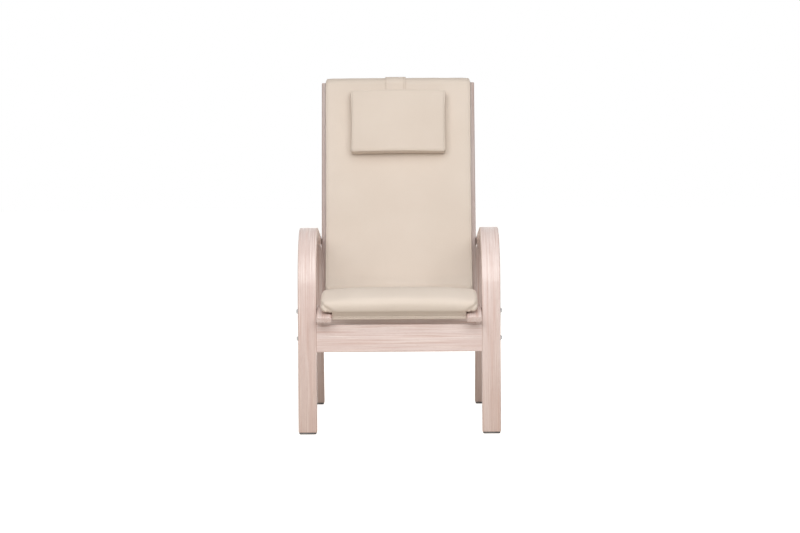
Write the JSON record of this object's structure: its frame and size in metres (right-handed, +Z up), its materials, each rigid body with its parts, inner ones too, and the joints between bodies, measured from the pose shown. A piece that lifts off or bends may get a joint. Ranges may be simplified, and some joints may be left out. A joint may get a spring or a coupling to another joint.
{
  "type": "armchair",
  "caption": "High-backed lounge armchair with bent laminated wood side frames, a padded seat and back in plain fabric, and a headrest pillow that slides on a weighted strap.",
  "frame": {"origin": "on the floor, at the middle of the outline seen from above", "axes": "+Z up, the chair faces -Y, +X to the left hand of a sitting person"},
  "size_m": [0.63, 0.7619, 1.0958],
  "materials": {
    "limed_wood": "satin",
    "cream_fabric": "matte",
    "foam": "matte",
    "webbing": "matte",
    "steel": "satin",
    "dark_plastic": "matte",
    "weight_fill": "matte"
  },
  "bodies": {
    "chair": {"side_frame_left": "limed_wood", "side_frame_right": "limed_wood", "rail_left": "limed_wood", "rail_right": "limed_wood", "front_apron": "limed_wood", "rear_stretcher": "limed_wood", "front_crossbar": "limed_wood", "lumbar_crossbar": "limed_wood", "top_crossbar": "limed_wood", "crossbar_dowels": "limed_wood", "rail_bolts": "steel", "frame_bolts": "steel", "rail_inserts": "steel", "barrel_nuts": "steel", "rail_spacers": "dark_plastic", "foot_glides": "dark_plastic", "seat_webbing": "webbing", "back_webbing": "webbing", "webbing_staples": "steel", "seat_cover": "cream_fabric", "seat_foam": "foam", "back_cover": "cream_fabric", "back_foam": "foam", "cover_front_flap": "cream_fabric", "cover_top_hood": "cream_fabric"},
    "headrest": {"headrest_cover": "cream_fabric", "headrest_foam": "foam", "headrest_strap_front": "cream_fabric"},
    "counterweight": {"headrest_strap_rear": "cream_fabric", "weight_pouch": "cream_fabric", "weight_core": "weight_fill"}
  },
  "joints": [
    {"name": "headrest_slide", "type": "slide", "parent": "chair", "child": "headrest", "axis": [0, 0.2588, 0.9659], "range_m": [-0.19, 0.035], "deforming": ["headrest_strap_front"]},
    {"name": "counterweight_slide", "type": "slide", "parent": "chair", "child": "counterweight", "axis": [0, 0, 1], "range_m": [-0.035, 0.19], "deforming": ["headrest_strap_rear"]}
  ],
  "couplings": [
    {"joint": "counterweight_slide", "follows": "headrest_slide", "ratio": -1}
  ]
}
